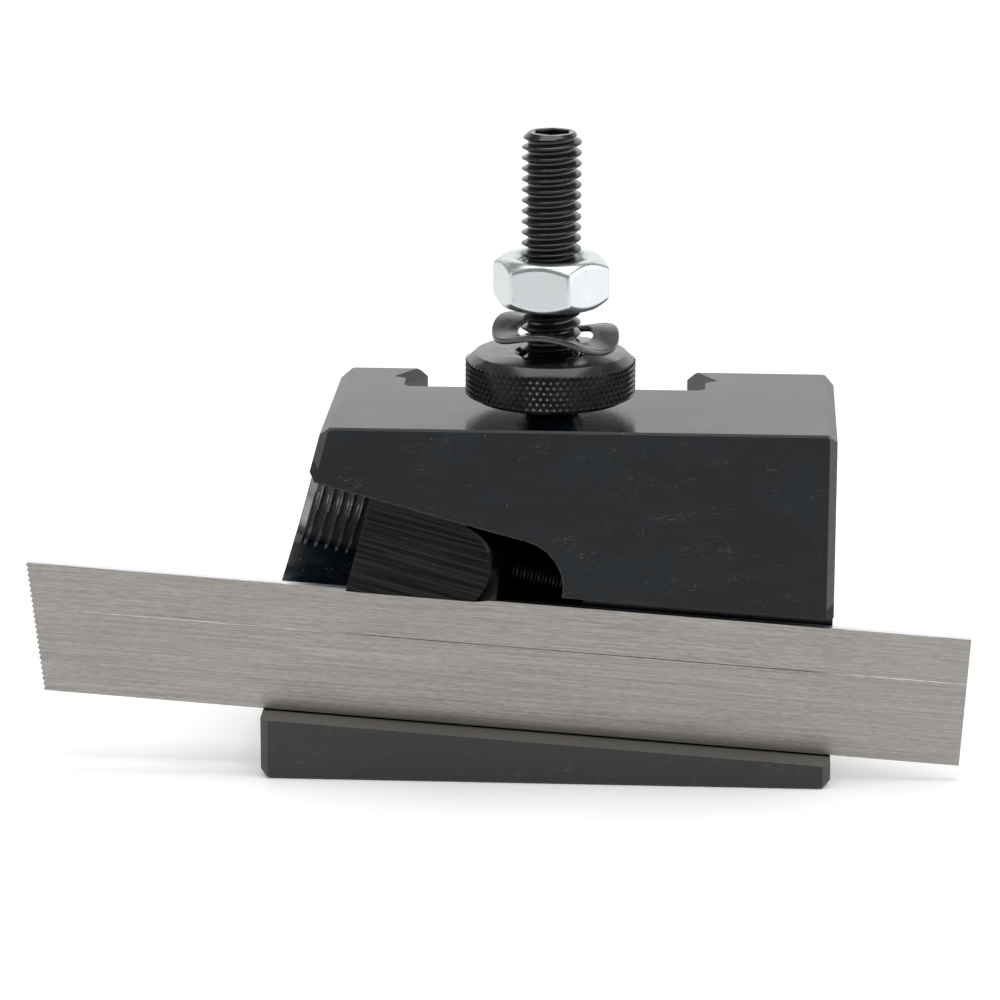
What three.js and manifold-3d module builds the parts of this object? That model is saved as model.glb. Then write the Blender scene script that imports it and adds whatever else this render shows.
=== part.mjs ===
// Parting-blade holder of a quick change tool post, in millimetres.
//
// Frame: the origin is on the underside of the body, at the middle of its length and depth.
// +X runs along the blade, from its cutting end to its plain end, +Y runs from the open front
// of the body to its dovetail, and +Z points up along the height stud.

import * as THREE from "three";
import { mergeVertices } from "three/addons/utils/BufferGeometryUtils.js";
import Module from "manifold-3d";

// Holder body: a steel block, its upper left corner cut off at a right angle to the wedge bore.
const bodyLength = 53.5;
const bodyDepth = 24.6;
const bodyHeight = 34.1;
const topStart = 6; // how far in from the foot's end the top face starts
const cornerBevel = 0.8; // corners of the body's outline, seen from the front
const faceBevel = 0.2; // edges of the front and back faces
const frontEndBevel = 0.7; // edges between the front face and the body's two ends
const backEndBevel = 1.3; // edges between the back face and the body's two ends

// Dovetail slot in the back of the body.
const dovetailOpening = 25.2;
const dovetailDepth = 7.6;
const dovetailAngle = 60;
const flankDepth = 4; // part of the depth that the undercut flanks take
const rootStep = 0.5; // step in from the widest place to the root of the slot
const rootCorner = 0.6;
const leadIn = 0.8; // bevel along the flanks at the top and bottom faces

// Parting blade and the groove it lies in, both sloping down towards +X.
const bladeSlope = 3.8;
const bladeLength = 88.9;
const bladeHeight = 12.4;
const bladeThickness = 1.02;
const bladeRelief = 2.3; // how far the foot of the cutting end is ground back
const bladeOverhang = 22.4; // beyond the foot's left end, along the blade's top edge
const bladeFoot = 4.16; // height of the lower edge at the middle of the body
const bladeInset = 3.2; // from the body's front face to the blade's
const bladeClearance = 0.12; // below and behind the blade
const grooveHeadroom = 1.75; // from the blade's top edge to the groove's upper wall

// Slanted bore for the clamp wedge, open to the front, with a round end.
const boreSlope = 15;
const boreRadius = 6.8;
const boreInset = 5.05; // from the front face to the bore's axis
const boreRise = 1.82; // from the blade's top edge to the axis, at the middle of the body
const boreEnd = -3; // centre of the round end, along the axis from the middle of the body

// Clamp wedge: a round bar with one round end, ground flat in front and along the blade.
const wedgeClearance = 0.1; // around the wedge in its bore
const wedgeRise = 7.1; // from the wedge's round end back to the bore's, along the axis
const wedgeBarrel = 7.9; // length of the round bar without its round end
const wedgeSetback = 0.15; // from the front face to the wedge's flat
const wedgeSeatTilt = 7; // the face on the blade rises this many degrees towards the front
const wedgeSeatGap = 0.12;

// Clamp screw: a socket-head cap screw through the wedge, into the body past the bore's end.
const screwOffset = 1.85; // from the bore's axis towards the back
const screwRadius = 1.95;
const screwLength = 25; // under the head
const screwBevel = 0.49;
const screwHeadRadius = 3.5;
const screwHeadHeight = 4;
const screwKey = 3; // across the flats of its socket
const screwKeyDepth = 2;
const screwHoleClearance = 0.2;
const screwHeadClearance = 0.2;
const screwHeadRecess = 0.35; // head's outer face below the wedge's end
const screwBearingGap = 0.12;
const tappedHoleSpare = 1.5; // depth of the tapped hole beyond the screw's tip

// Height stud, standing in the top of the body.
const studRadius = 2.82;
const studInset = 8.6; // from the front face to the stud's axis
const studProjection = 26.35; // above the top of the body
const studWall = 1.32; // steel left between the bore and the stud's foot
const studHoleClearance = 0.15;
const studFootGap = 0.3;
const studBevel = 0.6;
const studKey = 3;
const studKeyDepth = 3;

// Knurled height nut, wavy spring washer and hexagon lock nut, stacked on the stud.
const nutBoreClearance = 0.2;
const heightNutRadius = 8;
const heightNutThickness = 4.35;
const heightNutLift = 1.2; // above the top of the body
const heightNutBevel = 0.55;
const washerRadius = 5.95;
const washerBoreClearance = 0.68;
const washerShift = 0.45; // towards +X from the stud's axis
const washerThickness = 0.6;
const washerWaves = 3;
const washerWave = 0.62; // half the height of a wave at the rim
const washerTurn = 23; // direction of one crest, about the stud
const washerTilt = 0.5; // how far the rim rises on its high side
const washerTiltTurn = 187; // direction of the high side
const washerGap = 0.45; // lowest place of the washer above the height nut
const washerSpace = 4.45; // between the two nuts
const lockNutFlats = 9.7;
const lockNutHeight = 4.7;
const lockNutBevel = 0.55;
const lockNutFace = 8.9; // diameter of the round end faces
const lockNutChamfer = 38;
const lockNutTurn = 20;

const ROUND_SIDES = 48;
const SMALL_SIDES = 32;
const BORE_SIDES = 64;
const BALL_STEPS = 10;
const HEX_SIDES = 6;
const REACH = 200; // half size of a block that cuts away everything on one side of a plane
const PAST = 2; // how far a cutting solid runs past the face it breaks through
const WELD = 1e-4; // corners nearer than this are one

const radians = THREE.MathUtils.degToRad;
const frontY = -bodyDepth / 2;
const bladeTop = bladeFoot + bladeHeight;
const boreHeight = bladeTop + boreRise;
const studEngagement = bodyHeight - boreHeight - boreRadius - studWall;

const steelBlack = new THREE.MeshStandardMaterial({ color: 0x2a2d32, roughness: 0.42, metalness: 0.85 });
const steelGround = new THREE.MeshStandardMaterial({ color: 0xa8a29c, roughness: 0.38, metalness: 1 });
const steelDark = new THREE.MeshStandardMaterial({ color: 0x4a4a4b, roughness: 0.45, metalness: 0.9 });
const screwBlack = new THREE.MeshStandardMaterial({ color: 0x1d1e20, roughness: 0.4, metalness: 0.85 });
const zincPlate = new THREE.MeshStandardMaterial({ color: 0xd3d6d8, roughness: 0.32, metalness: 1 });
const springSteel = new THREE.MeshStandardMaterial({ color: 0x8f9294, roughness: 0.35, metalness: 1 });

const wasm = await Module();
wasm.setup();

// A closed geometry, moved by a matrix, as a solid that can be joined and cut.
// A mirroring matrix turns the faces inwards, so their corners are then taken in reverse.
function solidOf(geometry, matrix = new THREE.Matrix4()) {
  const bare = geometry.clone().applyMatrix4(matrix);
  bare.deleteAttribute("normal");
  bare.deleteAttribute("uv");
  const merged = mergeVertices(bare, WELD);
  const corners = new Uint32Array(merged.index.array);
  if (matrix.determinant() < 0) corners.reverse();
  return new wasm.Manifold(
    new wasm.Mesh({
      numProp: 3,
      vertProperties: merged.attributes.position.array,
      triVerts: corners,
    }),
  );
}

// The solid as a geometry with flat faces.
function geometryOf(solid) {
  const mesh = solid.getMesh();
  const geometry = new THREE.BufferGeometry();
  geometry.setAttribute("position", new THREE.BufferAttribute(mesh.vertProperties, 3));
  geometry.setIndex(new THREE.BufferAttribute(mesh.triVerts, 1));
  const flat = geometry.toNonIndexed();
  flat.computeVertexNormals();
  return flat;
}

function namedMesh(name, geometry, material) {
  const mesh = new THREE.Mesh(geometry, material);
  mesh.name = name;
  return mesh;
}

function shapeOf(points) {
  return new THREE.Shape(points.map(([x, y]) => new THREE.Vector2(x, y)));
}

// An outline given as [x, z], seen from the front, extruded towards +Y from y = 0.
function extrudeBack(points, depth, bevel = 0) {
  const geometry = new THREE.ExtrudeGeometry(shapeOf(points), {
    depth: depth - 2 * bevel,
    bevelEnabled: bevel > 0,
    bevelSegments: 1,
    bevelSize: bevel,
    bevelThickness: bevel,
    bevelOffset: -bevel,
  });
  return geometry.rotateX(Math.PI / 2).translate(0, depth - bevel, 0);
}

// An outline given as [x, y], extruded towards +Z from z = 0.
function extrudeUp(points, height) {
  return new THREE.ExtrudeGeometry(shapeOf(points), { depth: height, bevelEnabled: false });
}

// A profile given as [radius, z] pairs in rising order, turned about the Z axis.
function turned(profile, sides = ROUND_SIDES) {
  const points = profile.map(([radius, z]) => new THREE.Vector2(radius, z));
  return new THREE.LatheGeometry(points, sides).rotateX(Math.PI / 2);
}

function hexagon(flats) {
  const corner = flats / 2 / Math.cos(Math.PI / HEX_SIDES);
  return Array.from({ length: HEX_SIDES }, (_, i) => {
    const angle = ((i + 0.5) * 2 * Math.PI) / HEX_SIDES;
    return [corner * Math.cos(angle), corner * Math.sin(angle)];
  });
}

// A group whose local X runs along a line that slopes down towards +X, seen from the front.
function slopedGroup(y, z, slope) {
  const group = new THREE.Group();
  group.position.set(0, y, z);
  group.rotation.y = radians(slope);
  group.updateMatrixWorld(true);
  return group;
}

// Turns geometry that stands along +Z so that it lies along +X.
const alongX = new THREE.Matrix4().makeRotationY(Math.PI / 2);

const bladeFrame = slopedGroup(frontY + bladeInset, bladeTop, bladeSlope);
const boreFrame = slopedGroup(frontY + boreInset, boreHeight, boreSlope);
const studY = frontY + studInset;

// Places on the bore's axis, from the middle of the body.
const wedgeRound = boreEnd - wedgeRise; // centre of the wedge's round end
const wedgeStart = wedgeRound - wedgeBarrel;
const headStart = wedgeStart + screwHeadRecess;
const headUnderside = headStart + screwHeadHeight;
const screwTip = headUnderside + screwLength;

// Heights on the stud.
const heightNutBase = bodyHeight + heightNutLift;
const heightNutTop = heightNutBase + heightNutThickness;
const lockNutBase = heightNutTop + washerSpace;

function bodyOutline() {
  const half = bodyLength / 2;
  const slope = Math.tan(radians(boreSlope));
  const slantFoot = bodyHeight - topStart / slope;
  const bevelRun = cornerBevel * Math.sin(radians(boreSlope));
  const bevelDrop = cornerBevel * Math.cos(radians(boreSlope));
  return [
    [-half + cornerBevel, 0],
    [half - cornerBevel, 0],
    [half, cornerBevel],
    [half, bodyHeight - cornerBevel],
    [half - cornerBevel, bodyHeight],
    [-half + topStart + cornerBevel, bodyHeight],
    [-half + topStart - bevelRun, bodyHeight - bevelDrop],
    [-half, slantFoot],
    [-half, cornerBevel],
  ];
}

// The slot seen from above, running past the back face.
function dovetailOutline() {
  const back = bodyDepth / 2;
  const mouth = dovetailOpening / 2;
  const run = 1 / Math.tan(radians(dovetailAngle));
  const widest = mouth + flankDepth * run;
  const root = widest - rootStep;
  const floor = back - dovetailDepth;
  const right = [
    [mouth, back + PAST],
    [mouth, back],
    [widest, back - flankDepth],
    [root, back - flankDepth - rootStep],
    [root, floor + rootCorner],
    [root - rootCorner, floor],
  ];
  return [...right.map(([x, y]) => [-x, y]), ...right.reverse()];
}

// A prism that bevels the straight edge from start to end. inwards runs from the edge into one
// of its two faces, and outwards points away from that face. The prism runs past the start, and
// past the end by as much as is given.
function bevelCut(start, end, inwards, outwards, size, pastEnd = PAST) {
  const along = end.clone().sub(start);
  const run = along.length() + PAST + pastEnd;
  along.normalize();
  const triangle = [
    [-size, -2 * size],
    [2 * size, size],
    [-size, size],
  ];
  const prism = new THREE.ExtrudeGeometry(shapeOf(triangle), { depth: run, bevelEnabled: false });
  const place = new THREE.Matrix4().makeBasis(inwards, outwards, along);
  place.setPosition(start.clone().addScaledVector(along, -PAST));
  return solidOf(prism, place);
}

// Bevels along the two flanks, where the slot meets the top and bottom faces.
function flankLeadIns() {
  const cuts = [];
  const angle = radians(dovetailAngle);
  const run = flankDepth / Math.tan(angle);
  for (const side of [-1, 1]) {
    for (const height of [0, bodyHeight]) {
      const mouth = new THREE.Vector3((side * dovetailOpening) / 2, bodyDepth / 2, height);
      const root = mouth.clone().add(new THREE.Vector3(side * run, -flankDepth, 0));
      const inwards = new THREE.Vector3(side * Math.sin(angle), Math.cos(angle), 0);
      const outwards = new THREE.Vector3(0, 0, height > 0 ? 1 : -1);
      cuts.push(bevelCut(mouth, root, inwards, outwards, leadIn, 0));
    }
  }
  return cuts;
}

// Bevels along the upright and slanted edges of the body's two ends, front and back.
function endBevels() {
  const half = bodyLength / 2;
  const slope = radians(boreSlope);
  const slantFoot = bodyHeight - topStart / Math.tan(slope);
  const cuts = [];
  for (const [y, size] of [
    [frontY, frontEndBevel],
    [-frontY, backEndBevel],
  ]) {
    const outwards = new THREE.Vector3(0, Math.sign(y), 0);
    const at = (x, z) => new THREE.Vector3(x, y, z);
    const right = new THREE.Vector3(1, 0, 0);
    const left = new THREE.Vector3(-1, 0, 0);
    const square = new THREE.Vector3(Math.cos(slope), 0, -Math.sin(slope));
    cuts.push(bevelCut(at(half, 0), at(half, bodyHeight), left, outwards, size));
    cuts.push(bevelCut(at(-half, 0), at(-half, slantFoot), right, outwards, size));
    cuts.push(bevelCut(at(-half, slantFoot), at(-half + topStart, bodyHeight), square, outwards, size));
  }
  return cuts;
}

function boreCutter() {
  const profile = [[0, -bodyLength]];
  profile.push([boreRadius, -bodyLength]);
  for (let i = 0; i <= BALL_STEPS; i++) {
    const angle = (i / BALL_STEPS) * (Math.PI / 2);
    const radius = i === BALL_STEPS ? 0 : boreRadius * Math.cos(angle);
    profile.push([radius, boreEnd + boreRadius * Math.sin(angle)]);
  }
  return turned(profile, BORE_SIDES).applyMatrix4(alongX);
}

// Opens the lower half of the bore to the front, down into the groove.
function boreWindow() {
  const outline = [
    [-bodyLength, -boreRadius],
    [boreEnd, -boreRadius],
    [boreEnd, 0],
    [-bodyLength, 0],
  ];
  return extrudeBack(outline, boreInset + PAST).translate(0, -boreInset - PAST, 0);
}

function holderBody() {
  const outside = extrudeBack(bodyOutline(), bodyDepth, faceBevel).translate(0, frontY, 0);

  const grooveDepth = bladeInset + bladeThickness + bladeClearance;
  const grooveBottom = -bladeHeight - bladeClearance;
  const groove = extrudeBack(
    [
      [-bodyLength, grooveBottom],
      [bodyLength, grooveBottom],
      [bodyLength, grooveHeadroom],
      [-bodyLength, grooveHeadroom],
    ],
    grooveDepth + PAST,
  ).translate(0, -bladeInset - PAST, 0);

  const slot = extrudeUp(dovetailOutline(), bodyHeight + 2 * PAST).translate(0, 0, -PAST);

  const studHoleDepth = studEngagement + studFootGap;
  const studHole = turned([
    [0, bodyHeight - studHoleDepth],
    [studRadius + studHoleClearance, bodyHeight - studHoleDepth],
    [studRadius + studHoleClearance, bodyHeight + PAST],
    [0, bodyHeight + PAST],
  ]).translate(0, studY, 0);

  const tappedHole = turned(
    [
      [0, boreEnd],
      [screwRadius + screwHoleClearance, boreEnd],
      [screwRadius + screwHoleClearance, screwTip + tappedHoleSpare],
      [0, screwTip + tappedHoleSpare],
    ],
    SMALL_SIDES,
  );
  tappedHole.applyMatrix4(alongX).translate(0, screwOffset, 0);

  let solid = solidOf(outside);
  solid = solid.subtract(solidOf(groove, bladeFrame.matrixWorld));
  solid = solid.subtract(solidOf(slot));
  for (const cut of [...endBevels(), ...flankLeadIns()]) solid = solid.subtract(cut);
  solid = solid.subtract(solidOf(boreCutter(), boreFrame.matrixWorld));
  solid = solid.subtract(solidOf(boreWindow(), boreFrame.matrixWorld));
  solid = solid.subtract(solidOf(tappedHole, boreFrame.matrixWorld));
  solid = solid.subtract(solidOf(studHole));
  return namedMesh("holder_body", geometryOf(solid), steelBlack);
}

// Drawn in the blade's frame, whose origin is on the top edge at the middle of the body.
function partingBlade() {
  const tip = -(bodyLength / 2 + bladeOverhang);
  const heel = tip + bladeLength;
  const outline = [
    [tip + bladeRelief, -bladeHeight],
    [heel, -bladeHeight],
    [heel, 0],
    [tip, 0],
  ];
  return namedMesh("parting_blade", extrudeBack(outline, bladeThickness), steelGround);
}

function clampWedge() {
  const radius = boreRadius - wedgeClearance;
  const profile = [[0, wedgeStart]];
  for (let i = 0; i <= BALL_STEPS; i++) {
    const angle = (i / BALL_STEPS) * (Math.PI / 2);
    const reach = i === BALL_STEPS ? 0 : radius * Math.cos(angle);
    if (i === 0) profile.push([radius, wedgeStart]);
    profile.push([reach, wedgeRound + radius * Math.sin(angle)]);
  }
  const bar = turned(profile, BORE_SIDES).applyMatrix4(alongX);

  const bearing = headUnderside + screwBearingGap;
  const headHole = screwHeadRadius + screwHeadClearance;
  const shankHole = screwRadius + screwHoleClearance;
  const screwHole = turned(
    [
      [0, wedgeStart - PAST],
      [headHole, wedgeStart - PAST],
      [headHole, bearing],
      [shankHole, bearing],
      [shankHole, wedgeRound + boreRadius + PAST],
      [0, wedgeRound + boreRadius + PAST],
    ],
    SMALL_SIDES,
  );
  screwHole.applyMatrix4(alongX).translate(0, screwOffset, 0);

  const block = new THREE.BoxGeometry(REACH, REACH, REACH);
  const inFront = block.clone().translate(0, frontY + wedgeSetback - REACH / 2, 0);
  const seatEdge = new THREE.Group();
  seatEdge.position.set(0, bladeThickness, wedgeSeatGap);
  seatEdge.rotation.x = -radians(wedgeSeatTilt);
  bladeFrame.add(seatEdge);
  bladeFrame.updateMatrixWorld(true);
  const below = block.clone().translate(0, 0, -REACH / 2);

  let solid = solidOf(bar, boreFrame.matrixWorld);
  solid = solid.subtract(solidOf(screwHole, boreFrame.matrixWorld));
  solid = solid.subtract(solidOf(inFront));
  solid = solid.subtract(solidOf(below, seatEdge.matrixWorld));
  bladeFrame.remove(seatEdge);
  return namedMesh("clamp_wedge", geometryOf(solid), steelDark);
}

// Drawn along local X, with its head's outer face at x = 0.
function clampScrew() {
  const length = screwHeadHeight + screwLength;
  const turnedScrew = turned(
    [
      [0, 0],
      [screwHeadRadius - screwBevel, 0],
      [screwHeadRadius, screwBevel],
      [screwHeadRadius, screwHeadHeight],
      [screwRadius, screwHeadHeight],
      [screwRadius, length - screwBevel],
      [screwRadius - screwBevel, length],
      [0, length],
    ],
    SMALL_SIDES,
  );
  const socket = extrudeUp(hexagon(screwKey), screwKeyDepth + PAST).translate(0, 0, -PAST);
  const solid = solidOf(turnedScrew, alongX).subtract(solidOf(socket, alongX));
  return namedMesh("clamp_screw", geometryOf(solid), screwBlack);
}

// Drawn standing on z = 0.
function heightStud() {
  const length = studEngagement + studProjection;
  const rod = turned([
    [0, 0],
    [studRadius - studBevel, 0],
    [studRadius, studBevel],
    [studRadius, length - studBevel],
    [studRadius - studBevel, length],
    [0, length],
  ]);
  const socket = extrudeUp(hexagon(studKey), studKeyDepth + PAST).translate(0, 0, length - studKeyDepth);
  const solid = solidOf(rod).subtract(solidOf(socket));
  return namedMesh("height_stud", geometryOf(solid), screwBlack);
}

// Drawn with its underside on z = 0.
function heightNut() {
  const bore = studRadius + nutBoreClearance;
  const profile = [
    [bore, 0],
    [heightNutRadius - heightNutBevel, 0],
    [heightNutRadius, heightNutBevel],
    [heightNutRadius, heightNutThickness - heightNutBevel],
    [heightNutRadius - heightNutBevel, heightNutThickness],
    [bore, heightNutThickness],
    [bore, 0],
  ];
  return namedMesh("height_nut", turned(profile), steelBlack);
}

// Drawn with the lowest place of its underside on z = 0.
function springWasher() {
  const inner = studRadius + washerBoreClearance;
  const middle = (inner + washerRadius) / 2;
  const ring = turned([
    [inner, 0],
    [middle, 0],
    [washerRadius, 0],
    [washerRadius, washerThickness],
    [middle, washerThickness],
    [inner, washerThickness],
    [inner, 0],
  ]);
  const position = ring.attributes.position;
  const lift = (x, y) => {
    const reach = Math.hypot(x, y) / washerRadius;
    const angle = Math.atan2(y, x);
    const wave = washerWave * Math.cos(washerWaves * (angle - radians(washerTurn)));
    return reach * (wave + washerTilt * Math.cos(angle - radians(washerTiltTurn)));
  };
  let lowest = Infinity;
  for (let i = 0; i < position.count; i++) {
    const rise = lift(position.getX(i), position.getY(i));
    position.setZ(i, position.getZ(i) + rise);
    lowest = Math.min(lowest, rise);
  }
  ring.translate(0, 0, -lowest);
  ring.computeVertexNormals();
  return namedMesh("spring_washer", ring, springSteel);
}

// Drawn with its underside on z = 0: a hexagon whose corners are turned off at both ends.
function lockNut() {
  const corner = lockNutFlats / 2 / Math.cos(Math.PI / HEX_SIDES);
  const face = lockNutFace / 2;
  const rise = (corner - face) * Math.tan(radians(lockNutChamfer));
  const prism = extrudeUp(hexagon(lockNutFlats), lockNutHeight);
  const barrel = turned([
    [0, 0],
    [face, 0],
    [corner, rise],
    [corner, lockNutHeight - rise],
    [face, lockNutHeight],
    [0, lockNutHeight],
  ]);
  const boreSize = studRadius + nutBoreClearance;
  const bore = turned([
    [0, -PAST],
    [boreSize + PAST, -PAST],
    [boreSize + lockNutBevel, 0],
    [boreSize, lockNutBevel],
    [boreSize, lockNutHeight - lockNutBevel],
    [boreSize + lockNutBevel, lockNutHeight],
    [boreSize + PAST, lockNutHeight + PAST],
    [0, lockNutHeight + PAST],
  ]);
  const solid = solidOf(prism).intersect(solidOf(barrel)).subtract(solidOf(bore));
  return namedMesh("lock_nut", geometryOf(solid), zincPlate);
}

const holder = new THREE.Group();
holder.add(holderBody());
holder.add(clampWedge());

bladeFrame.add(partingBlade());
holder.add(bladeFrame);

const screw = clampScrew();
screw.position.set(headStart, screwOffset, 0);
boreFrame.add(screw);
holder.add(boreFrame);

const stack = new THREE.Group();
stack.position.set(0, studY, 0);
const stud = heightStud();
stud.position.z = bodyHeight - studEngagement;
const knurledNut = heightNut();
knurledNut.position.z = heightNutBase;
const washer = springWasher();
washer.position.set(washerShift, 0, heightNutTop + washerGap);
const hexNut = lockNut();
hexNut.position.z = lockNutBase;
hexNut.rotation.z = radians(lockNutTurn);
stack.add(stud, knurledNut, washer, hexNut);
holder.add(stack);

export default holder;
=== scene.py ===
import math

import bmesh
import bpy
from mathutils import Matrix, Vector


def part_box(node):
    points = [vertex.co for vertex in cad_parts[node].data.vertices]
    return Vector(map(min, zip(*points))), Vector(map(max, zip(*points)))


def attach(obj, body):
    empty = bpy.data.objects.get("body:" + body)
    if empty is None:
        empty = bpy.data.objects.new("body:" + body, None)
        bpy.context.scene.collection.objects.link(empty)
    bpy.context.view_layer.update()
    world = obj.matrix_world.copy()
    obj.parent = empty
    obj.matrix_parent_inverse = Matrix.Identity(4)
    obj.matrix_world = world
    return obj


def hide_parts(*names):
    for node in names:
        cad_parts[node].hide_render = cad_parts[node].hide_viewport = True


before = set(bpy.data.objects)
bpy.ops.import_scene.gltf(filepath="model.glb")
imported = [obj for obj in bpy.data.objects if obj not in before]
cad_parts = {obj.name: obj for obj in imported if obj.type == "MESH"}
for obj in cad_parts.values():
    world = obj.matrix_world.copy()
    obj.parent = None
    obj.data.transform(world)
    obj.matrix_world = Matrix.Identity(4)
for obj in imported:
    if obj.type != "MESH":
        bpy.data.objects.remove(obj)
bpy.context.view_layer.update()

MM = 0.001

# Places and slopes of the wedge's bore, of the blade, of the screw and of the stud, as in the CAD model.
BORE_SLOPE = math.radians(15)
BLADE_SLOPE = math.radians(3.8)
BORE = Matrix.Translation((0, -7.25 * MM, 18.38 * MM)) @ Matrix.Rotation(BORE_SLOPE, 4, "Y")
BLADE = Matrix.Translation((0, -9.1 * MM, 16.56 * MM)) @ Matrix.Rotation(BLADE_SLOPE, 4, "Y")
UP_TO_ALONG = Matrix.Rotation(math.pi / 2, 4, "Y")  # lays what was made upright along the bore
SCREW_OFFSET = Matrix.Translation((0, 1.85 * MM, 0))
STUD = Matrix.Translation((0, -3.7 * MM, 0))

# These are in mm.
STUD_PITCH = 1.0
SCREW_PITCH = 0.7
BODY_LENGTH = 53.5
BLADE_THICKNESS = 1.02
MOUTH = -24.11  # where the bore meets the slanted end, along the bore from its middle
NUT_BORE = 3.02
SOCKET_FLATS = 3.0
SOCKET_MOUTH = 0.12  # the bevel around a socket
DRILL_POINT = 0.7  # depth of the cone at a socket's floor

THREAD_ROWS = 12  # rings of points in one turn of a thread


# ---------------------------------------------------------------- materials


class Shader:
    """A material's node tree, built one call at a time."""

    def __init__(self, name, **values):
        self.material = bpy.data.materials.new(name)
        self.material.use_nodes = True
        self.tree = self.material.node_tree
        self.bsdf = self.tree.nodes["Principled BSDF"]
        for key, value in values.items():
            self.bsdf.inputs[key.replace("_", " ")].default_value = value
        coordinates = self.tree.nodes.new("ShaderNodeTexCoord")
        self.place = coordinates.outputs["Object"]
        self.normal = coordinates.outputs["Normal"]

    def node(self, kind, **settings):
        """A new node of a kind, which is its type's name without the word ShaderNode."""
        made = self.tree.nodes.new("ShaderNode" + kind)
        for key, value in settings.items():
            setattr(made, key, value)
        return made

    def link(self, source, target):
        self.tree.links.new(source, target)

    def drive(self, **sockets):
        """Links values to the shader's own sockets."""
        for key, value in sockets.items():
            self.link(value, self.bsdf.inputs[key.replace("_", " ")])

    def put(self, socket, value):
        """Links a socket's value, or sets it where the value is a number or a colour."""
        if isinstance(value, bpy.types.NodeSocket):
            self.link(value, socket)
        else:
            socket.default_value = value

    def mapped(self, scale, turn=(0, 0, 0), shift=(0, 0, 0)):
        """Object coordinates in millimetres, turned, then stretched by one number or three."""
        turned = self.node("Mapping")
        turned.inputs["Rotation"].default_value = turn
        turned.inputs["Location"].default_value = shift
        turned.inputs["Scale"].default_value = [1 / MM] * 3
        self.link(self.place, turned.inputs["Vector"])
        stretched = self.node("Mapping")
        stretched.inputs["Scale"].default_value = scale if isinstance(scale, tuple) else [scale] * 3
        self.link(turned.outputs["Vector"], stretched.inputs["Vector"])
        return stretched.outputs["Vector"]

    def noise(self, vector, scale=1.0, detail=3.0, roughness=0.5):
        """Soft noise around 0.5."""
        made = self.node("TexNoise")
        made.inputs["Scale"].default_value = scale
        made.inputs["Detail"].default_value = detail
        made.inputs["Roughness"].default_value = roughness
        self.link(vector, made.inputs["Vector"])
        return made.outputs["Fac"]

    def ramp(self, value, low, high, start=0.0, end=1.0):
        """A value from low to high becomes one from start to end, with soft ends."""
        made = self.node("MapRange", interpolation_type="SMOOTHSTEP")
        made.inputs["From Min"].default_value = low
        made.inputs["From Max"].default_value = high
        made.inputs["To Min"].default_value = start
        made.inputs["To Max"].default_value = end
        self.link(value, made.inputs["Value"])
        return made.outputs["Result"]

    def math(self, operation, first, second):
        made = self.node("Math", operation=operation)
        self.put(made.inputs[0], first)
        self.put(made.inputs[1], second)
        return made.outputs["Value"]

    def times(self, first, second):
        return self.math("MULTIPLY", first, second)

    def plus(self, first, second):
        return self.math("ADD", first, second)

    def size(self, value):
        return self.math("ABSOLUTE", value, 0.0)

    def mix(self, factor, first, second):
        """The first colour where the factor is 0, the second where it is 1."""
        made = self.node("Mix", data_type="RGBA")
        self.put(made.inputs["Factor"], factor)
        self.put(made.inputs["A"], first)
        self.put(made.inputs["B"], second)
        return made.outputs["Result"]

    def part_of(self, vector, axis):
        """A vector's X, Y or Z."""
        made = self.node("SeparateXYZ")
        self.link(vector, made.inputs["Vector"])
        return made.outputs[axis]

    def edges(self, radius, low=0.02, high=0.2):
        """1 within the radius of a sharp edge, 0 elsewhere."""
        rounded = self.node("Bevel", samples=4)
        rounded.inputs["Radius"].default_value = radius
        flat = self.node("NewGeometry")
        made = self.node("VectorMath", operation="DOT_PRODUCT")
        self.link(rounded.outputs["Normal"], made.inputs[0])
        self.link(flat.outputs["Normal"], made.inputs[1])
        return self.ramp(self.math("SUBTRACT", 1.0, made.outputs["Value"]), low, high)

    def scratches(self, angle, density, stretch=0.012, width=0.007):
        """Thin straight marks on faces that look forwards, backwards or up."""
        turn = (0, angle, angle)
        line = self.noise(self.mapped((stretch, 1.0, 1.0), turn), scale=3.2, detail=2.0)
        off_centre = self.size(self.math("SUBTRACT", line, 0.5))
        near = self.ramp(off_centre, 0.0, width, 1.0, 0.0)
        patches = self.noise(self.mapped((0.12, 0.35, 0.35), turn), scale=1.6)
        return self.times(near, self.ramp(patches, density, density + 0.06))

    def bump(self, height, distance):
        """Raises the surface in look only, by up to a distance in millimetres."""
        made = self.node("Bump")
        made.inputs["Distance"].default_value = distance * MM
        self.link(height, made.inputs["Height"])
        self.link(made.outputs["Normal"], self.bsdf.inputs["Normal"])


def foot_masks(made):
    """Two masks: the block's foot in front, below the blade, and the upper face of its ledge."""
    ledge = made.mapped(1, turn=(0, -BLADE_SLOPE, 0))
    foot = made.ramp(made.part_of(ledge, "Z"), 6.0, 7.0, 1.0, 0.0)
    foot = made.times(foot, made.ramp(made.part_of(ledge, "Y"), -9.4, -9.0, 1.0, 0.0))
    return foot, made.times(foot, made.ramp(made.part_of(made.normal, "Z"), 0.8, 0.95))


def bore_masks(made):
    """Two masks: all that is close to the bore's axis, and the upper wall inside its mouth, which gets a
    painted highlight where it catches light.
    """
    home = BORE.inverted().translation / MM
    turn = (0, -BORE_SLOPE, 0)
    length = made.node("VectorMath", operation="LENGTH")
    made.link(made.mapped((0, 1, 1), turn, home), length.inputs[0])
    inside = made.ramp(length.outputs["Value"], 7.7, 7.9, 1.0, 0.0)
    bored = made.mapped(1, turn, home)
    painted_lit_wall = made.times(made.ramp(made.part_of(bored, "X"), -13.5, -18.0, 0.0, 1.0), inside)
    painted_lit_wall = made.times(painted_lit_wall, made.ramp(made.part_of(bored, "Z"), -4.0, -2.4))
    return inside, made.times(painted_lit_wall, made.ramp(made.part_of(bored, "Y"), -4.4, -3.8))


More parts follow.
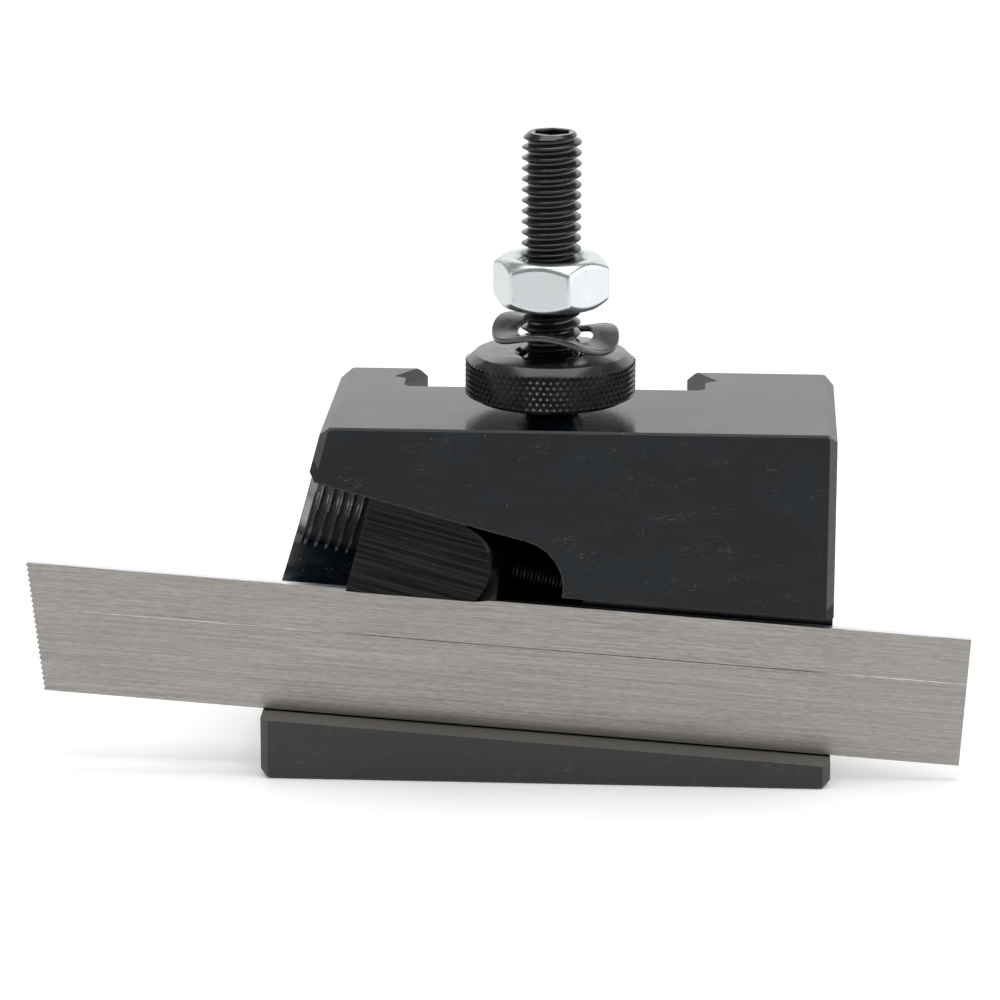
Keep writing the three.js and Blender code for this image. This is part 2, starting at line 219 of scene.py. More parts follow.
def bevel_mask(made, inside):
    """The bevels of the ends and the flanks, faces that look partly forwards or back and partly sideways: a
    mask for painted light that makes them lighter.
    """
    lean = made.size(made.part_of(made.normal, "Y"))
    painted_light_slants = made.times(made.ramp(lean, 0.25, 0.32), made.ramp(lean, 0.85, 0.95, 1.0, 0.0))
    sideways = made.size(made.part_of(made.normal, "X"))
    painted_light_slants = made.times(painted_light_slants, made.ramp(sideways, 0.2, 0.3))
    return made.times(painted_light_slants, made.math("SUBTRACT", 1.0, inside))


def black_oxide():
    """Satin blackened steel with faint grinding lines, light scratches and worn edges, and painted light: a
    highlight on the upper wall inside the bore's mouth and lighter slanted bevels and flanks.
    """
    made = Shader("black_oxide", IOR=1.34)
    cloud = made.noise(made.mapped((0.08, 0.08, 0.16)), detail=5.0)
    grain = made.noise(made.mapped((0.15, 0.15, 9.0)), detail=4.0)
    speck = made.noise(made.mapped(5.0), detail=2.0)
    fine = made.scratches(math.radians(8), 0.57)
    steep = made.scratches(math.radians(68), 0.6)
    marks = made.math("MAXIMUM", fine, steep)
    dust = made.ramp(made.noise(made.mapped(2.6), detail=1.0), 0.76, 0.79)
    marks = made.math("MAXIMUM", marks, dust)
    foot, shelf = foot_masks(made)
    inside, painted_lit_wall = bore_masks(made)
    painted_light_slants = bevel_mask(made, inside)

    worn = made.times(made.edges(0.12 * MM), made.ramp(speck, 0.35, 0.6, 0.25, 1.0))
    tone = made.ramp(made.plus(cloud, grain), 0.8, 1.2)
    upper = made.mix(tone, (0.0002, 0.0022, 0.0046, 1), (0.0042, 0.0075, 0.0105, 1))
    dark = made.mix(foot, upper, (0.038, 0.038, 0.0405, 1))
    dark = made.mix(shelf, dark, (0.15, 0.143, 0.13, 1))
    # painted light: the slanted bevels and flanks are coloured lighter because of how they face the lamps
    dark = made.mix(painted_light_slants, dark, (0.06, 0.059, 0.057, 1))
    # painted highlight: the upper wall inside the bore's mouth is coloured pale where it catches light
    dark = made.mix(painted_lit_wall, dark, (0.2, 0.206, 0.212, 1))
    marked = made.mix(made.times(marks, 0.55), dark, (0.2, 0.195, 0.19, 1))
    made.drive(Base_Color=made.mix(made.times(worn, 0.5), marked, (0.15, 0.145, 0.14, 1)))
    # painted highlight: only that lit wall is made metallic
    made.drive(Metallic=made.times(painted_lit_wall, 0.75))
    uneven = made.plus(made.ramp(grain, 0.3, 0.7, 0.15, 0.19), made.ramp(cloud, 0.35, 0.65, 0.0, 0.05))
    made.drive(Roughness=made.plus(uneven, made.times(marks, 0.15)))
    relief = made.plus(made.times(grain, 0.3), made.times(marks, -1.0))
    made.bump(made.plus(relief, made.times(speck, 0.08)), 0.0015)
    return made.material


def brushed_blade():
    """Bare steel, ground lengthwise in short strokes, with a painted highlight on the faces that look up.
    """
    made = Shader("brushed_blade", Metallic=1.0)
    slope = (0, -BLADE_SLOPE, 0)
    stroke = made.noise(made.mapped((1.1, 12.0, 20.0), turn=slope), detail=4.0, roughness=0.6)
    long_stroke = made.noise(made.mapped((0.1, 4.0, 9.0), turn=slope), detail=3.0)
    cloud = made.noise(made.mapped((0.05, 0.1, 0.12), turn=slope), detail=2.0)
    lines = made.plus(made.times(stroke, 0.6), made.times(long_stroke, 0.4))
    shade = made.mix(made.ramp(lines, 0.38, 0.62), (0.285, 0.268, 0.252, 1), (0.4, 0.382, 0.365, 1))
    shade = made.mix(made.ramp(cloud, 0.35, 0.65, 0.0, 0.25), shade, (0.32, 0.305, 0.29, 1))
    # painted highlight: faces that look up are coloured a bright bluish white
    painted_top_highlight = made.ramp(made.part_of(made.normal, "Z"), 0.85, 0.95)
    made.drive(Base_Color=made.mix(painted_top_highlight, shade, (0.78, 0.8, 0.85, 1)))
    made.drive(Roughness=made.ramp(lines, 0.35, 0.65, 0.46, 0.34))
    made.bump(lines, 0.003)
    return made.material


def ground_wedge():
    """Blackened steel: coarse grinding lines along the flat face, smooth and darker on the round ones."""
    made = Shader("ground_wedge", IOR=1.17)
    slope = (0, -BORE_SLOPE, 0)
    line = made.noise(made.mapped((0.07, 4.0, 7.0), turn=slope), detail=5.0, roughness=0.65)
    flat = made.ramp(made.part_of(made.normal, "Y"), -0.995, -0.97, 1.0, 0.0)
    worn = made.times(made.edges(0.1 * MM), flat)
    ground = made.mix(made.ramp(line, 0.4, 0.6), (0.003, 0.003, 0.003, 1), (0.023, 0.0225, 0.022, 1))
    dark = made.mix(flat, (0.0012, 0.0012, 0.0012, 1), ground)
    made.drive(Base_Color=made.mix(made.times(worn, 0.4), dark, (0.13, 0.127, 0.122, 1)))
    made.drive(Roughness=made.ramp(flat, 0.0, 1.0, 0.16, 0.4))
    made.bump(made.times(line, flat), 0.03)
    return made.material


def clamp_black():
    """The clamp screw, black with oil."""
    made = Shader("clamp_black", IOR=1.3, Base_Color=(0.002, 0.002, 0.002, 1))
    speck = made.noise(made.mapped(3.0), detail=4.0)
    made.drive(Roughness=made.ramp(speck, 0.35, 0.65, 0.14, 0.26))
    made.bump(speck, 0.01)
    return made.material


def thread_black():
    """Oiled black steel of the stud."""
    made = Shader("thread_black", IOR=1.55)
    speck = made.noise(made.mapped(3.0), detail=4.0)
    worn = made.edges(0.08 * MM)
    dark = made.mix(speck, (0.005, 0.0052, 0.0055, 1), (0.014, 0.014, 0.014, 1))
    made.drive(Base_Color=made.mix(made.times(worn, 0.35), dark, (0.11, 0.11, 0.11, 1)))
    made.drive(Roughness=made.ramp(speck, 0.35, 0.65, 0.14, 0.26))
    made.bump(speck, 0.003)
    return made.material


def turned_rings(made, scale):
    """Fine rings left by a lathe, about the stud's axis."""
    length = made.node("VectorMath", operation="LENGTH")
    made.link(made.mapped((1.0, 1.0, 0.0), shift=-STUD.translation / MM), length.inputs[0])
    rings = made.node("CombineXYZ")
    made.link(length.outputs["Value"], rings.inputs["X"])
    return made.noise(rings.outputs["Vector"], scale=scale)


def knurled_black():
    """Blackened steel: glossy turned faces, the rim's points worn a little brighter."""
    made = Shader("knurled_black", IOR=1.5)
    rings = turned_rings(made, 5.0)
    speck = made.noise(made.mapped(3.5), detail=4.0)
    stain = made.noise(made.mapped(0.5), detail=5.0, roughness=0.6)
    worn = made.times(made.edges(0.06 * MM, 0.03, 0.3), made.ramp(speck, 0.35, 0.6))
    dark = made.mix(made.ramp(stain, 0.35, 0.65), (0.009, 0.0092, 0.0095, 1), (0.02, 0.02, 0.02, 1))
    made.drive(Base_Color=made.mix(made.times(worn, 0.4), dark, (0.14, 0.14, 0.145, 1)))
    made.drive(Roughness=made.ramp(stain, 0.35, 0.65, 0.14, 0.26))
    made.bump(made.plus(made.times(rings, 0.5), made.times(speck, 0.5)), 0.005)
    return made.material


def spring_grey():
    """Rolled spring steel, smooth and dark grey."""
    made = Shader("spring_grey", Metallic=0.75)
    cloud = made.noise(made.mapped(0.6), detail=4.0)
    speck = made.noise(made.mapped(7.0), detail=3.0)
    made.drive(Base_Color=made.mix(cloud, (0.055, 0.059, 0.063, 1), (0.105, 0.11, 0.115, 1)))
    made.drive(Roughness=made.ramp(cloud, 0.35, 0.65, 0.2, 0.32))
    made.bump(speck, 0.003)
    return made.material


def zinc():
    """Bright zinc plate over turned and milled faces."""
    made = Shader("bright_zinc", Metallic=1.0)
    cloud = made.noise(made.mapped((0.35, 0.35, 0.2)), detail=4.0)
    speck = made.noise(made.mapped(6.0), detail=4.0, roughness=0.6)
    pits = made.ramp(made.noise(made.mapped(2.2), detail=1.0), 0.7, 0.74)
    pale = made.mix(cloud, (0.55, 0.59, 0.605, 1), (0.69, 0.715, 0.72, 1))
    made.drive(Base_Color=made.mix(made.times(pits, 0.5), pale, (0.3, 0.32, 0.33, 1)))
    made.drive(Roughness=made.ramp(cloud, 0.3, 0.7, 0.26, 0.36))
    made.bump(made.math("SUBTRACT", made.times(speck, 0.4), pits), 0.004)
    return made.material


OXIDE = black_oxide()
BLADE_STEEL = brushed_blade()
WEDGE_STEEL = ground_wedge()
THREAD = thread_black()
OILED = clamp_black()
KNURLED = knurled_black()
SPRING = spring_grey()
ZINC = zinc()


# ---------------------------------------------------------------- meshes


def mesh_object(name, points, faces, material):
    """A new object at the origin, its points in metres."""
    mesh = bpy.data.meshes.new(name)
    mesh.from_pydata([Vector(p) for p in points], [], faces)
    mesh.validate()
    made = bpy.data.objects.new(name, mesh)
    bpy.context.scene.collection.objects.link(made)
    mesh.materials.append(material)
    return made


def tidy(piece):
    """Welds corners that coincide and turns every face outwards."""
    work = bmesh.new()
    work.from_mesh(piece.data)
    bmesh.ops.remove_doubles(work, verts=work.verts, dist=2e-7)
    bmesh.ops.dissolve_degenerate(work, edges=work.edges, dist=1e-7)
    bmesh.ops.recalc_face_normals(work, faces=work.faces)
    work.to_mesh(piece.data)
    work.free()


def shade(piece, degrees=30):
    """Shades smoothly, except across edges sharper than this."""
    mesh = piece.data
    mesh.shade_smooth()
    mesh.set_sharp_from_angle(angle=math.radians(degrees))


def shade_curved(piece, degrees=24):
    """Shades smoothly only where neighbouring faces bend a little, so that flat faces stay flat."""
    work = bmesh.new()
    work.from_mesh(piece.data)
    least, most = math.radians(0.6), math.radians(degrees)
    for face in work.faces:
        bends = [edge.calc_face_angle(0.0) for edge in face.edges]
        face.smooth = any(least < bend < most for bend in bends)
    for edge in work.edges:
        edge.smooth = edge.calc_face_angle(0.0) < most
    work.to_mesh(piece.data)
    work.free()


def bevel(piece, width, segments, degrees):
    """Rounds the edges sharper than an angle."""
    made = piece.modifiers.new("edges", "BEVEL")
    made.width = width * MM
    made.segments = segments
    made.limit_method = "ANGLE"
    made.angle_limit = math.radians(degrees)
    made.miter_outer = "MITER_ARC"


def band(start, after, count):
    """Quads between two rings of points, given the number of each ring's first point."""
    following = [(j + 1) % count for j in range(count)]
    return [(start + j, start + following[j], after + following[j], after + j) for j in range(count)]


def open_loft(rings):
    """Points and faces of a skin over rings of equally many points, open at both ends."""
    count = len(rings[0])
    points = [p for ring in rings for p in ring]
    faces = []
    for i in range(len(rings) - 1):
        faces += band(i * count, (i + 1) * count, count)
    return points, faces


def cyclic_loft(rings):
    """A skin over rings whose last one is joined to the first."""
    points, faces = open_loft(rings)
    count = len(rings[0])
    return points, faces + band(len(points) - count, 0, count)


def capped_loft(rings):
    """A skin over rings, closed at each end by a fan from the middle of its ring."""
    points, faces = open_loft(rings)
    count = len(rings[0])
    for ring, start, turn in ((rings[0], 0, -1), (rings[-1], len(points) - count, 1)):
        centre = sum((Vector(p) for p in ring), Vector()) / count
        middle = len(points)
        points.append(tuple(centre))
        for j in range(count):
            first, second = (start + j, start + (j + 1) % count)[::turn]
            faces.append((first, second, middle))
    return points, faces


def centre_fan(ring, point):
    """Closes a ring towards one point."""
    count = len(ring)
    return list(ring) + [point], [(j, (j + 1) % count, count) for j in range(count)]


def moved_up(rings, height):
    return [[(x, y, z + height) for x, y, z in ring] for ring in rings]


def circle(radius, z, count):
    """A ring about the local Z axis, in millimetres; radius is a number or a function of the angle."""
    size = radius if callable(radius) else lambda angle: radius
    turns = [2 * math.pi * j / count for j in range(count)]
    return [(size(a) * math.cos(a), size(a) * math.sin(a), z) for a in turns]


def hexagon_radius(flats):
    """A hexagon's radius as a function of the angle, its corners at 30 degrees and every 60 from there."""
    sector = math.pi / 3
    return lambda angle: flats / 2 / math.cos((angle + sector / 2) % sector - sector / 2)


def placed(points, matrix):
    """Millimetres in a local frame as metres in the object's."""
    return [matrix @ (Vector(p) * MM) for p in points]


def share(value, whole):
    """How much of a whole a value is, from 0 to 1."""
    return min(max(value / whole, 0.0), 1.0)


def thread_depth(phase, pitch):
    """How far below the crest a 60 degree thread's surface lies, phase in turns."""
    across = abs((phase % 1.0) - 0.5) * pitch
    half_crest = pitch / 16
    flank = (across - half_crest) / math.tan(math.radians(30))
    root = 0.613 * pitch
    return min(max(flank, 0.0), root)


def threaded_rings(crest, pitch, start, end, tip, columns):
    """Rings of a right-hand thread between two ends, each cut off by a cone with the tip's radius."""
    step = pitch / THREAD_ROWS
    first = math.floor((start - pitch) / step)
    last = math.ceil((end + pitch) / step)
    rings = []
    for i in range(first, last + 1):
        ring = []
        for j in range(columns):
            turn = j / columns
            z = min(max(i * step + turn * pitch, start), end)
            radius = crest - thread_depth(z / pitch - turn, pitch)
            radius = min(radius, tip + z - start, tip + end - z)
            angle = 2 * math.pi * turn
            ring.append((radius * math.cos(angle), radius * math.sin(angle), z))
        rings.append(ring)
    return rings


def threaded_skin(rings):
    """A thread's rings are turns of a helix, so each one's end meets the start of a later one."""
    count = len(rings[0])
    points = [p for ring in rings for p in ring]
    faces = []
    for i in range(len(rings) - 1):
        for j in range(count - 1):
            a = i * count + j
            faces.append((a, a + 1, a + count + 1, a + count))
    for i in range(len(rings) - 1 - THREAD_ROWS):
        last, start = (i + 1) * count - 1, (i + THREAD_ROWS) * count
        faces.append((last, start, start + count, last + count))
    return points, faces


def socket_rings(depth, columns):
    """Rings from the rim of a hexagon socket at z = 0 to halfway down the cone in its floor."""
    key = hexagon_radius(SOCKET_FLATS)
    rings = [circle(lambda a: key(a) + SOCKET_MOUTH, 0.0, columns), circle(key, -SOCKET_MOUTH, columns)]
    rings.append(circle(key, -depth, columns))
    rings.append(circle(SOCKET_FLATS / 4, -depth - DRILL_POINT / 2, columns))
    return rings


def put_together(name, parts, matrix, material):
    """One mesh from several lists of points and faces, each in millimetres."""
    points, faces = [], []
    for some_points, some_faces in parts:
        base = len(points)
        points += some_points
        faces += [tuple(base + k for k in face) for face in some_faces]
    made = mesh_object(name, placed(points, matrix), faces, material)
    tidy(made)
    return made


# ---------------------------------------------------------------- the pieces


def height_stud():
    """A stud threaded from end to end, with a socket in its top."""
    low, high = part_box("height_stud")
    top, bottom = high.z / MM, low.z / MM
    inside_cad, thread_and_bevel, socket_depth, columns = 0.02, 0.66, 3.0, 96
    crest = (high.x - low.x) / 2 / MM - inside_cad
    tip = crest - thread_and_bevel
    skin = threaded_skin(threaded_rings(crest, STUD_PITCH, bottom, top, tip, columns))
    rim = circle(tip, top, columns)
    socket = moved_up(socket_rings(socket_depth, columns), top)
    parts = [skin, centre_fan(circle(tip, bottom, columns), (0, 0, bottom)), open_loft([rim, *socket])]
    parts.append(centre_fan(socket[-1], (0, 0, top - (socket_depth + DRILL_POINT))))
    made = put_together("stud_thread", parts, STUD, THREAD)
    shade(made, 38)
    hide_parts("height_stud")
    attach(made, "holder")


def clamp_screw():
    """Head outwards, at the end of the wedge; the shank's thread runs to its tip."""
    head_start, head_height, length = -17.65, 4.0, 25.0
    crest, tip_radius, socket_depth, columns = 1.93, 1.45, 2.0, 96
    head_radius, head_edge, head_face, groove = 3.47, 3.3, 3.05, 0.06
    under = head_start + head_height
    tip = under + length
    skin = threaded_skin(threaded_rings(crest, SCREW_PITCH, under, tip, tip_radius, columns))
    knurl = lambda angle: head_radius - groove * abs(math.sin(columns / 4 * angle))
    head = [circle(tip_radius, under, columns), circle(head_edge, under, columns)]
    head += [circle(knurl, under - 0.15, columns), circle(knurl, head_start + 0.75, columns)]
    head += [circle(head_edge, head_start + 0.25, columns), circle(head_face, head_start, columns)]
    socket = [[(x, y, head_start - z) for x, y, z in ring] for ring in socket_rings(socket_depth, columns)]
    parts = [skin, centre_fan(circle(tip_radius, tip, columns), (0, 0, tip)), open_loft([*head, *socket])]
    parts.append(centre_fan(socket[-1], (0, 0, head_start + (socket_depth + DRILL_POINT))))
    made = put_together("cap_screw", parts, BORE @ SCREW_OFFSET @ UP_TO_ALONG, OILED)
    shade(made, 38)
    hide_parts("clamp_screw")
    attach(made, "wedge_screw")


def height_nut():
    """Its knurl is a lattice: crests and grooves take turns around a ring and from ring to ring."""
    low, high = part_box("height_nut")
    base, top = low.z / MM, high.z / MM
    inside_cad, bore_bevel, depth, lines, rows = 0.01, 0.4, 0.3, 76, 6
    radius = (high.x - low.x) / 2 / MM - inside_cad
    columns = 2 * lines
    knurl_low, knurl_high = base + 0.52, top - 0.76
    turns = [2 * math.pi * j / columns for j in range(columns)]

    def knurled(row):
        z = knurl_low + (knurl_high - knurl_low) * row / rows
        sizes = [radius - depth * ((j + row) % 2) for j in range(columns)]
        return [(size * math.cos(turn), size * math.sin(turn), z) for size, turn in zip(sizes, turns)]

    # Each edge of the two faces: how far in from the rim, and its height.
    lower = [(1.0, base), (0.95, base + 0.04), (0.24, knurl_low - 0.08)]
    upper = [(0.2, knurl_high + 0.08), (0.82, top - 0.1), (0.92, top - 0.02), (1.05, top)]
    rings = [circle(NUT_BORE + bore_bevel, base, columns)]
    rings += [circle(radius - inset, z, columns) for inset, z in lower]
    first = len(rings)
    rings += [knurled(row) for row in range(rows + 1)]
    rings += [circle(radius - inset, z, columns) for inset, z in upper]
    rings += [circle(NUT_BORE + bore_bevel, top, columns), circle(NUT_BORE, top - bore_bevel, columns)]
    rings.append(circle(NUT_BORE, base + bore_bevel, columns))
    points, quads = cyclic_loft(rings)
    faces = []
    for quad in quads:
        ring, j = divmod(quad[0], columns)
        a, b, c, d = quad
        if not first <= ring < first + rows:
            faces.append(quad)
        elif (j + ring - first) % 2:
            faces += [(a, b, c), (a, c, d)]
        else:
            faces += [(a, b, d), (b, c, d)]
    made = mesh_object("knurled_nut", placed(points, STUD), faces, KNURLED)
    tidy(made)
    shade(made, 28)
    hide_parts("height_nut")
    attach(made, "knurled_nut")


def spring_washer():
    """Three waves round the rim and a slight tilt, as in the CAD model, with rounded edges."""
    low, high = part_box("spring_washer")
    outer = (high.x - low.x) / 2 / MM
    middle_x = (high.x + low.x) / 2 / MM
    inner, thick, fillet, columns = 3.5, 0.6, 0.16, 192

    def lift(reach, angle):
        waves = 0.62 * math.cos(3 * (angle - math.radians(23)))
        tilt = 0.5 * math.cos(angle - math.radians(187))
        return reach * (waves + tilt)

    lowest = min(lift(1.0, 2 * math.pi * j / columns) for j in range(columns))
    base = low.z / MM - lowest
    eased = fillet * 0.3
    outline = [(inner + fillet, 0), (outer - fillet, 0), (outer - eased, eased), (outer, fillet)]
    outline += [(outer, thick - fillet), (outer - eased, thick - eased), (outer - fillet, thick)]
    outline += [(inner + fillet, thick), (inner + eased, thick - eased), (inner, thick - fillet)]
    outline += [(inner, fillet), (inner + eased, eased)]
    rings = []
    for radius, z in outline:
        ring = circle(radius, z, columns)
        rings.append([(x, y, h + base + lift(radius / outer, math.atan2(y, x))) for x, y, h in ring])
    points, faces = cyclic_loft(rings)
    centre = STUD @ Matrix.Translation((middle_x * MM, 0, 0))
    made = mesh_object("wavy_washer", placed(points, centre), faces, SPRING)
    tidy(made)
    shade(made, 60)
    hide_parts("spring_washer")
    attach(made, "stack")


def lock_nut():
    """A hexagon whose corners are turned off by cones, so that each flat ends in an arc."""
    low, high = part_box("lock_nut")
    base, top = low.z / MM, high.z / MM
    flats, face, slope, bore_bevel, columns = 9.68, 4.45, math.tan(math.radians(38)), 0.55, 144
    size = hexagon_radius(flats)
    drop = lambda angle: (size(angle) - face) * slope
    turns = [2 * math.pi * j / columns for j in range(columns)]
    lower = [(size(a) * math.cos(a), size(a) * math.sin(a), base + drop(a)) for a in turns]
    upper = [(size(a) * math.cos(a), size(a) * math.sin(a), top - drop(a)) for a in turns]
    rings = [circle(NUT_BORE + bore_bevel, base, columns), circle(face, base, columns), lower, upper]
    rings += [circle(face, top, columns), circle(NUT_BORE + bore_bevel, top, columns)]
    rings += [circle(NUT_BORE, top - bore_bevel, columns), circle(NUT_BORE, base + bore_bevel, columns)]
    points, faces = cyclic_loft(rings)
    turned = STUD @ Matrix.Rotation(math.radians(20), 4, "Z")
    made = mesh_object("hexagon_nut", placed(points, turned), faces, ZINC)
    tidy(made)
    bevel(made, 0.26, segments=3, degrees=18)
    shade(made, 35)
    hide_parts("lock_nut")
    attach(made, "hexagon_nut")


def parting_blade():
    """A ground strip, its upper third a little thinner and its cutting end saw-toothed by grinding."""
    length, height, relief, overhang, edge = 88.9, 12.4, 2.3, 22.4, 0.05
    tip = -(BODY_LENGTH / 2 + overhang)
    heel = tip + length
    upper_band, sunk, step = 4.35, 0.06, 0.05
    tooth_pitch, tooth_depth, tooth_reach = 0.5, 0.22, 0.6
    spacing = tooth_pitch / 4
    levels = [0.0, edge] + [spacing * k for k in range(1, int(height / spacing))] + [height - edge, height]
    levels = [v for v in levels if not upper_band < v < upper_band + step]
    levels = sorted(levels + [upper_band, upper_band + step])

    def depth(down):
        sink = sunk if down <= upper_band else 0.0
        rounding = edge if down in (0.0, height) else 0.0
        return sink + rounding

    front = [(depth(v), -v) for v in levels]
    back = [(BLADE_THICKNESS - depth(v), -v) for v in reversed(levels)]
    section = front + back

    def cutting_end(along):
        ring = []
        for y, z in section:
            tooth = tooth_depth * abs(2 * ((-z / tooth_pitch) % 1.0) - 1)
            ring.append((along + relief * -z / height + tooth, y, z))
        return ring

    rings = [cutting_end(tip), cutting_end(tip + tooth_reach), [(heel, y, z) for y, z in section]]
    points, faces = open_loft(rings)
    count = len(section)
    for ring, turn in ((0, -1), (len(rings) - 1, 1)):
        for i in range(len(levels) - 1):
            face = (i, i + 1, count - 2 - i, count - 1 - i)
            faces.append(tuple(ring * count + k for k in face[::turn]))
    made = mesh_object("cutting_blade", placed(points, BLADE), faces, BLADE_STEEL)
    tidy(made)
    shade(made, 12)
    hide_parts("parting_blade")
    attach(made, "blade")


def copy_of(node, name, material):
    """The CAD node's own shape as a new mesh, its coplanar triangles joined."""
    made = bpy.data.objects.new(name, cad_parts[node].data.copy())
    bpy.context.scene.collection.objects.link(made)
    made.data.materials.clear()
    made.data.materials.append(material)
    work = bmesh.new()
    work.from_mesh(made.data)
    bmesh.ops.remove_doubles(work, verts=work.verts, dist=1e-6)
    bmesh.ops.dissolve_limit(work, angle_limit=math.radians(0.4), verts=work.verts, edges=work.edges)
    work.to_mesh(made.data)
    work.free()
    return made


def bore_thread():
    """A cutter for the thread inside the bore's mouth. It is as wide as the bore near the open front."""
    bore, rows_per_mm, columns = 6.83, 10, 160
    start, stop = -32.0, -14.0
    depth, long_flank, short_flank, mouth_bevel = 0.5, 0.72, 0.28, 1.0
    rings = []
    for i in range(int((stop - start) * rows_per_mm) + 1):
        s = start + i / rows_per_mm
        ring = []
        for j in range(columns):
            turn = j / columns
            angle = 2 * math.pi * turn
            back = math.sin(angle) * bore
            down = math.cos(angle) * bore
            ease = share(back + 4.2, 1.4) * share(stop - s, 0.8)
            ease *= share(4.4 - down, 1.6)
            phase = (s - turn) % 1.0
            cut = depth * min(phase / long_flank, (1.0 - phase) / short_flank)
            chamfer = max(MOUTH + mouth_bevel - s, 0.0)
            radius = bore + ease * max(cut, chamfer)
            ring.append((radius * math.cos(angle), radius * math.sin(angle), s))
        rings.append(ring)
    points, faces = capped_loft(rings)
    made = mesh_object("bore_cutter", placed(points, BORE @ UP_TO_ALONG), faces, OXIDE)
    tidy(made)
    return made


def drop_flaps(work):
    """Deletes pairs of faces that lie on each other, corner for corner."""
    seen = {}
    for face in work.faces:
        seen.setdefault(frozenset(v.index for v in face.verts), []).append(face)
    doubled = [face for group in seen.values() if len(group) > 1 for face in group]
    bmesh.ops.delete(work, geom=doubled, context="FACES")


def cut_away(piece, cutters):
    """Subtracts each cutter in turn, then deletes it."""
    for cutter in cutters:
        cut = piece.modifiers.new("cut", "BOOLEAN")
        cut.operation = "DIFFERENCE"
        cut.solver = "EXACT"
        cut.object = cutter
    bpy.context.view_layer.update()
    graph = bpy.context.evaluated_depsgraph_get()
    finished = bpy.data.meshes.new_from_object(piece.evaluated_get(graph))
    piece.modifiers.clear()
    piece.data = finished
    for cutter in cutters:
        bpy.data.objects.remove(cutter)
    work = bmesh.new()
    work.from_mesh(finished)
    bmesh.ops.triangulate(work, faces=work.faces)
    bmesh.ops.remove_doubles(work, verts=work.verts, dist=2e-6)
    bmesh.ops.dissolve_degenerate(work, edges=work.edges, dist=2e-6)
    drop_flaps(work)
    work.to_mesh(finished)
    work.free()


def holder_body():
    """The CAD block with a thread inside the mouth of its bore."""
    made = copy_of("holder_body", "body_block", OXIDE)
    cut_away(made, [bore_thread()])
    shade_curved(made)
    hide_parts("holder_body")
    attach(made, "holder")


def block_below(name, matrix):
    """A cutter that fills everything nearby under a frame's own XY plane."""
    size = 40.0
    corners = [(-size, -size), (size, -size), (size, size), (-size, size)]
    points, faces = capped_loft([[(x, y, -size) for x, y in corners], [(x, y, 0.0) for x, y in corners]])
    made = mesh_object(name, placed(points, matrix), faces, WEDGE_STEEL)
    tidy(made)
    return made


def clamp_wedge():
    """A round bar with a ball end, flat in front and where it bears on the blade, bored for its screw."""
    radius, start, round_end, rim, columns, steps = 6.7, -18.0, -10.1, 0.12, 144, 36
    along = BORE @ UP_TO_ALONG
    rings = [circle(radius - rim, start, columns), circle(radius, start + rim, columns)]
    for step in range(steps):
        angle = math.pi / 2 * step / steps
        rings.append(circle(radius * math.cos(angle), round_end + radius * math.sin(angle), columns))
    points, faces = capped_loft(rings)
    made = mesh_object("ground_wedge", placed(points, along), faces, WEDGE_STEEL)
    tidy(made)

    head_hole, shank_hole, bearing, beyond = 3.7, 2.15, -13.53, -1.0
    hole = [circle(head_hole, start - 2.0, columns), circle(head_hole, bearing, columns)]
    hole += [circle(shank_hole, bearing, columns), circle(shank_hole, beyond, columns)]
    points, faces = capped_loft(hole)
    drill = mesh_object("wedge_drill", placed(points, SCREW_OFFSET @ along), faces, WEDGE_STEEL)
    tidy(drill)
    front = Matrix.Translation((0, -12.15 * MM, 0)) @ Matrix.Rotation(math.radians(-90), 4, "X")
    seat_place = Matrix.Translation((0, BLADE_THICKNESS * MM, 0.12 * MM))
    seat = BLADE @ seat_place @ Matrix.Rotation(math.radians(-7), 4, "X")
    cut_away(made, [drill, block_below("front_cutter", front), block_below("seat_cutter", seat)])
    shade_curved(made)
    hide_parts("clamp_wedge")
    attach(made, "wedge")


holder_body()
clamp_wedge()
parting_blade()
clamp_screw()
height_stud()
height_nut()
spring_washer()
lock_nut()


# ---------------------------------------------------------------- floor, light and camera


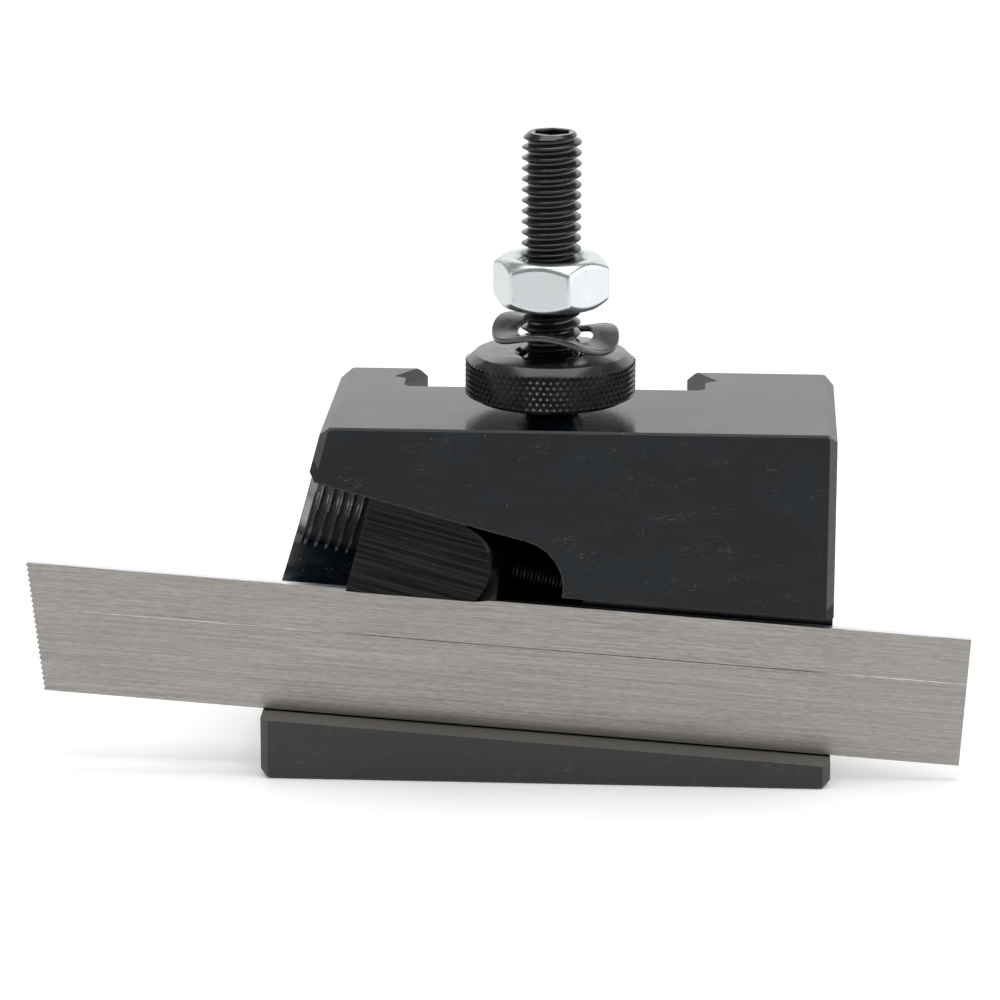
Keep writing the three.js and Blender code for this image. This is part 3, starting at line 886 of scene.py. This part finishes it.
def floor():
    """A plain pale floor, its edges far away."""
    reach = 3.0
    points = [(-reach, -reach, 0.0), (reach, -reach, 0.0), (reach, reach, 0.0), (-reach, reach, 0.0)]
    paint = Shader("pale_floor", Base_Color=(0.95, 0.95, 0.95, 1), Roughness=0.8, Emission_Strength=0.15)
    paint.bsdf.inputs["Emission Color"].default_value = (1, 1, 1, 1)
    mesh_object("floor", points, [(0, 1, 2, 3)], paint.material)


def softbox(name, place, size, power):
    """A rectangular light that faces the middle of the object."""
    target = Vector((0, 0, 0.03))
    light = bpy.data.lights.new(name, "AREA")
    light.shape = "RECTANGLE"
    light.size, light.size_y = size
    light.energy = power
    made = bpy.data.objects.new(name, light)
    made.location = place
    made.rotation_euler = (target - Vector(place)).to_track_quat("-Z", "Y").to_euler()
    bpy.context.scene.collection.objects.link(made)


def studio():
    """A dim white surround and four soft lights."""
    world = bpy.data.worlds.new("studio")
    world.use_nodes = True
    ground = world.node_tree.nodes["Background"]
    ground.inputs["Color"].default_value = (1.0, 1.0, 1.0, 1)
    ground.inputs["Strength"].default_value = 0.3
    bpy.context.scene.world = world
    softbox("top_light", (0.0, 0.0, 0.9), (0.9, 0.7), 5.4)
    softbox("back_light", (0.0, 1.5, 0.62), (3.0, 1.1), 10.0)
    softbox("left_light", (-0.8, -0.1, 0.3), (0.6, 0.5), 1.3)
    softbox("right_light", (0.8, -0.1, 0.3), (0.6, 0.5), 3.9)


def camera():
    """A long lens in front of the object, a little above it and to the right."""
    lens = bpy.data.cameras.new("camera")
    lens.sensor_width = 36.0
    lens.lens = 161.73
    lens.clip_start, lens.clip_end = 0.01, 20.0
    made = bpy.data.objects.new("camera", lens)
    place = Vector((17.206, -412.184, 134.575)) * MM
    target = Vector((-4.228, -12.3, 27.517)) * MM
    made.location = place
    look = (target - place).to_track_quat("-Z", "Y").to_matrix().to_4x4()
    roll = Matrix.Rotation(math.radians(0.176), 4, "Z")
    made.matrix_world = Matrix.Translation(place) @ look @ roll
    bpy.context.scene.collection.objects.link(made)
    bpy.context.scene.camera = made
    bpy.context.scene.view_settings.view_transform = "Standard"


floor()
studio()
camera()
